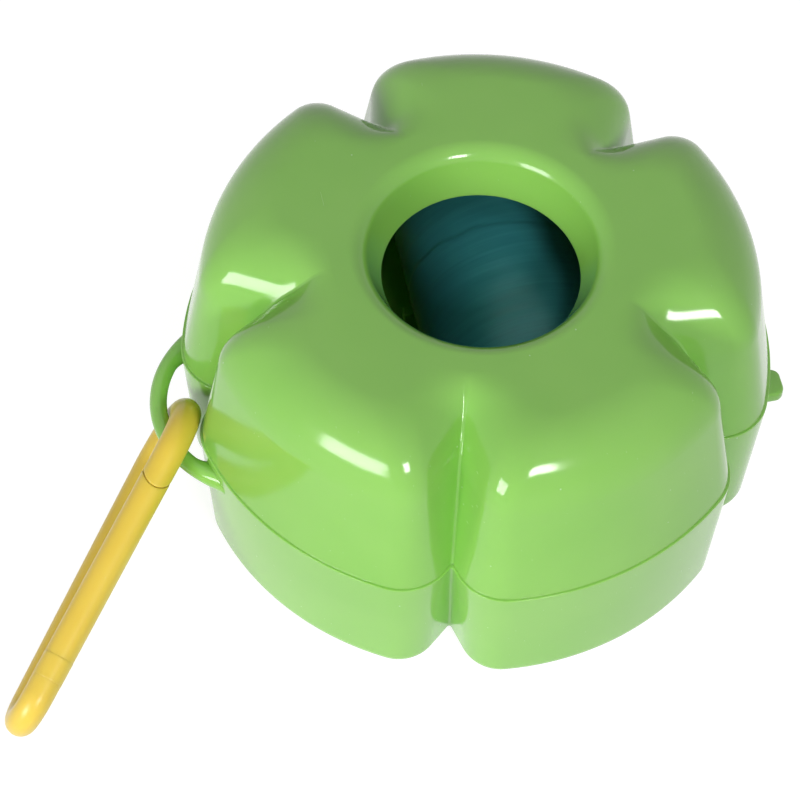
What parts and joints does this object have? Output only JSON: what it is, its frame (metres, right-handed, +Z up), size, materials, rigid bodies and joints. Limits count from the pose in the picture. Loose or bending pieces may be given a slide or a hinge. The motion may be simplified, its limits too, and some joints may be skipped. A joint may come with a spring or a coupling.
{
  "type": "dog poop bag dispenser",
  "caption": "Flower-shaped plastic case with a round mouth in its top, a roll of waste bags inside, a moulded belt loop and a carabiner.",
  "frame": {"origin": "middle of the case's flat underside, on the axis of the mouth", "axes": "+Z up through the mouth, -X towards the belt loop and the carabiner, +X towards the thumb tab"},
  "size_m": [0.1229, 0.0848, 0.0484],
  "materials": {
    "case_plastic": "glossy light green",
    "clip_plastic": "satin yellow",
    "bag_film": "thin wound film",
    "core_paper": "grey-brown paper"
  },
  "bodies": {
    "case_bottom": {"tray": "case_plastic"},
    "case_top": {"cover": "case_plastic"},
    "roll": {"roll_core": "core_paper", "bag_roll": "bag_film"},
    "carabiner": {"carabiner_hook": "clip_plastic"},
    "gate": {"carabiner_gate": "clip_plastic"}
  },
  "joints": [
    {"name": "cover_lift", "type": "slide", "parent": "case_bottom", "child": "case_top", "axis": [0, 0, 1], "range_m": [0, 0.04]},
    {"name": "roll_turn", "type": "hinge", "parent": "case_bottom", "child": "roll", "pos_m": [0.0085, 0, 0.0176], "axis": [0, 1, 0], "continuous": true},
    {"name": "carabiner_swing", "type": "hinge", "parent": "case_bottom", "child": "carabiner", "pos_m": [-0.0455, -0.00454, 0.0194], "axis": [-0.3024, 0.9532, 0], "range_deg": [-32, 1]},
    {"name": "gate_swing", "type": "hinge", "parent": "carabiner", "child": "gate", "pos_m": [-0.06642, -0.03182, 0.01179], "axis": [-0.7823, 0.4942, 0.3792], "range_deg": [0, 16], "stiffness_Nm_per_rad": 0.05, "springref_deg": -5.73}
  ]
}
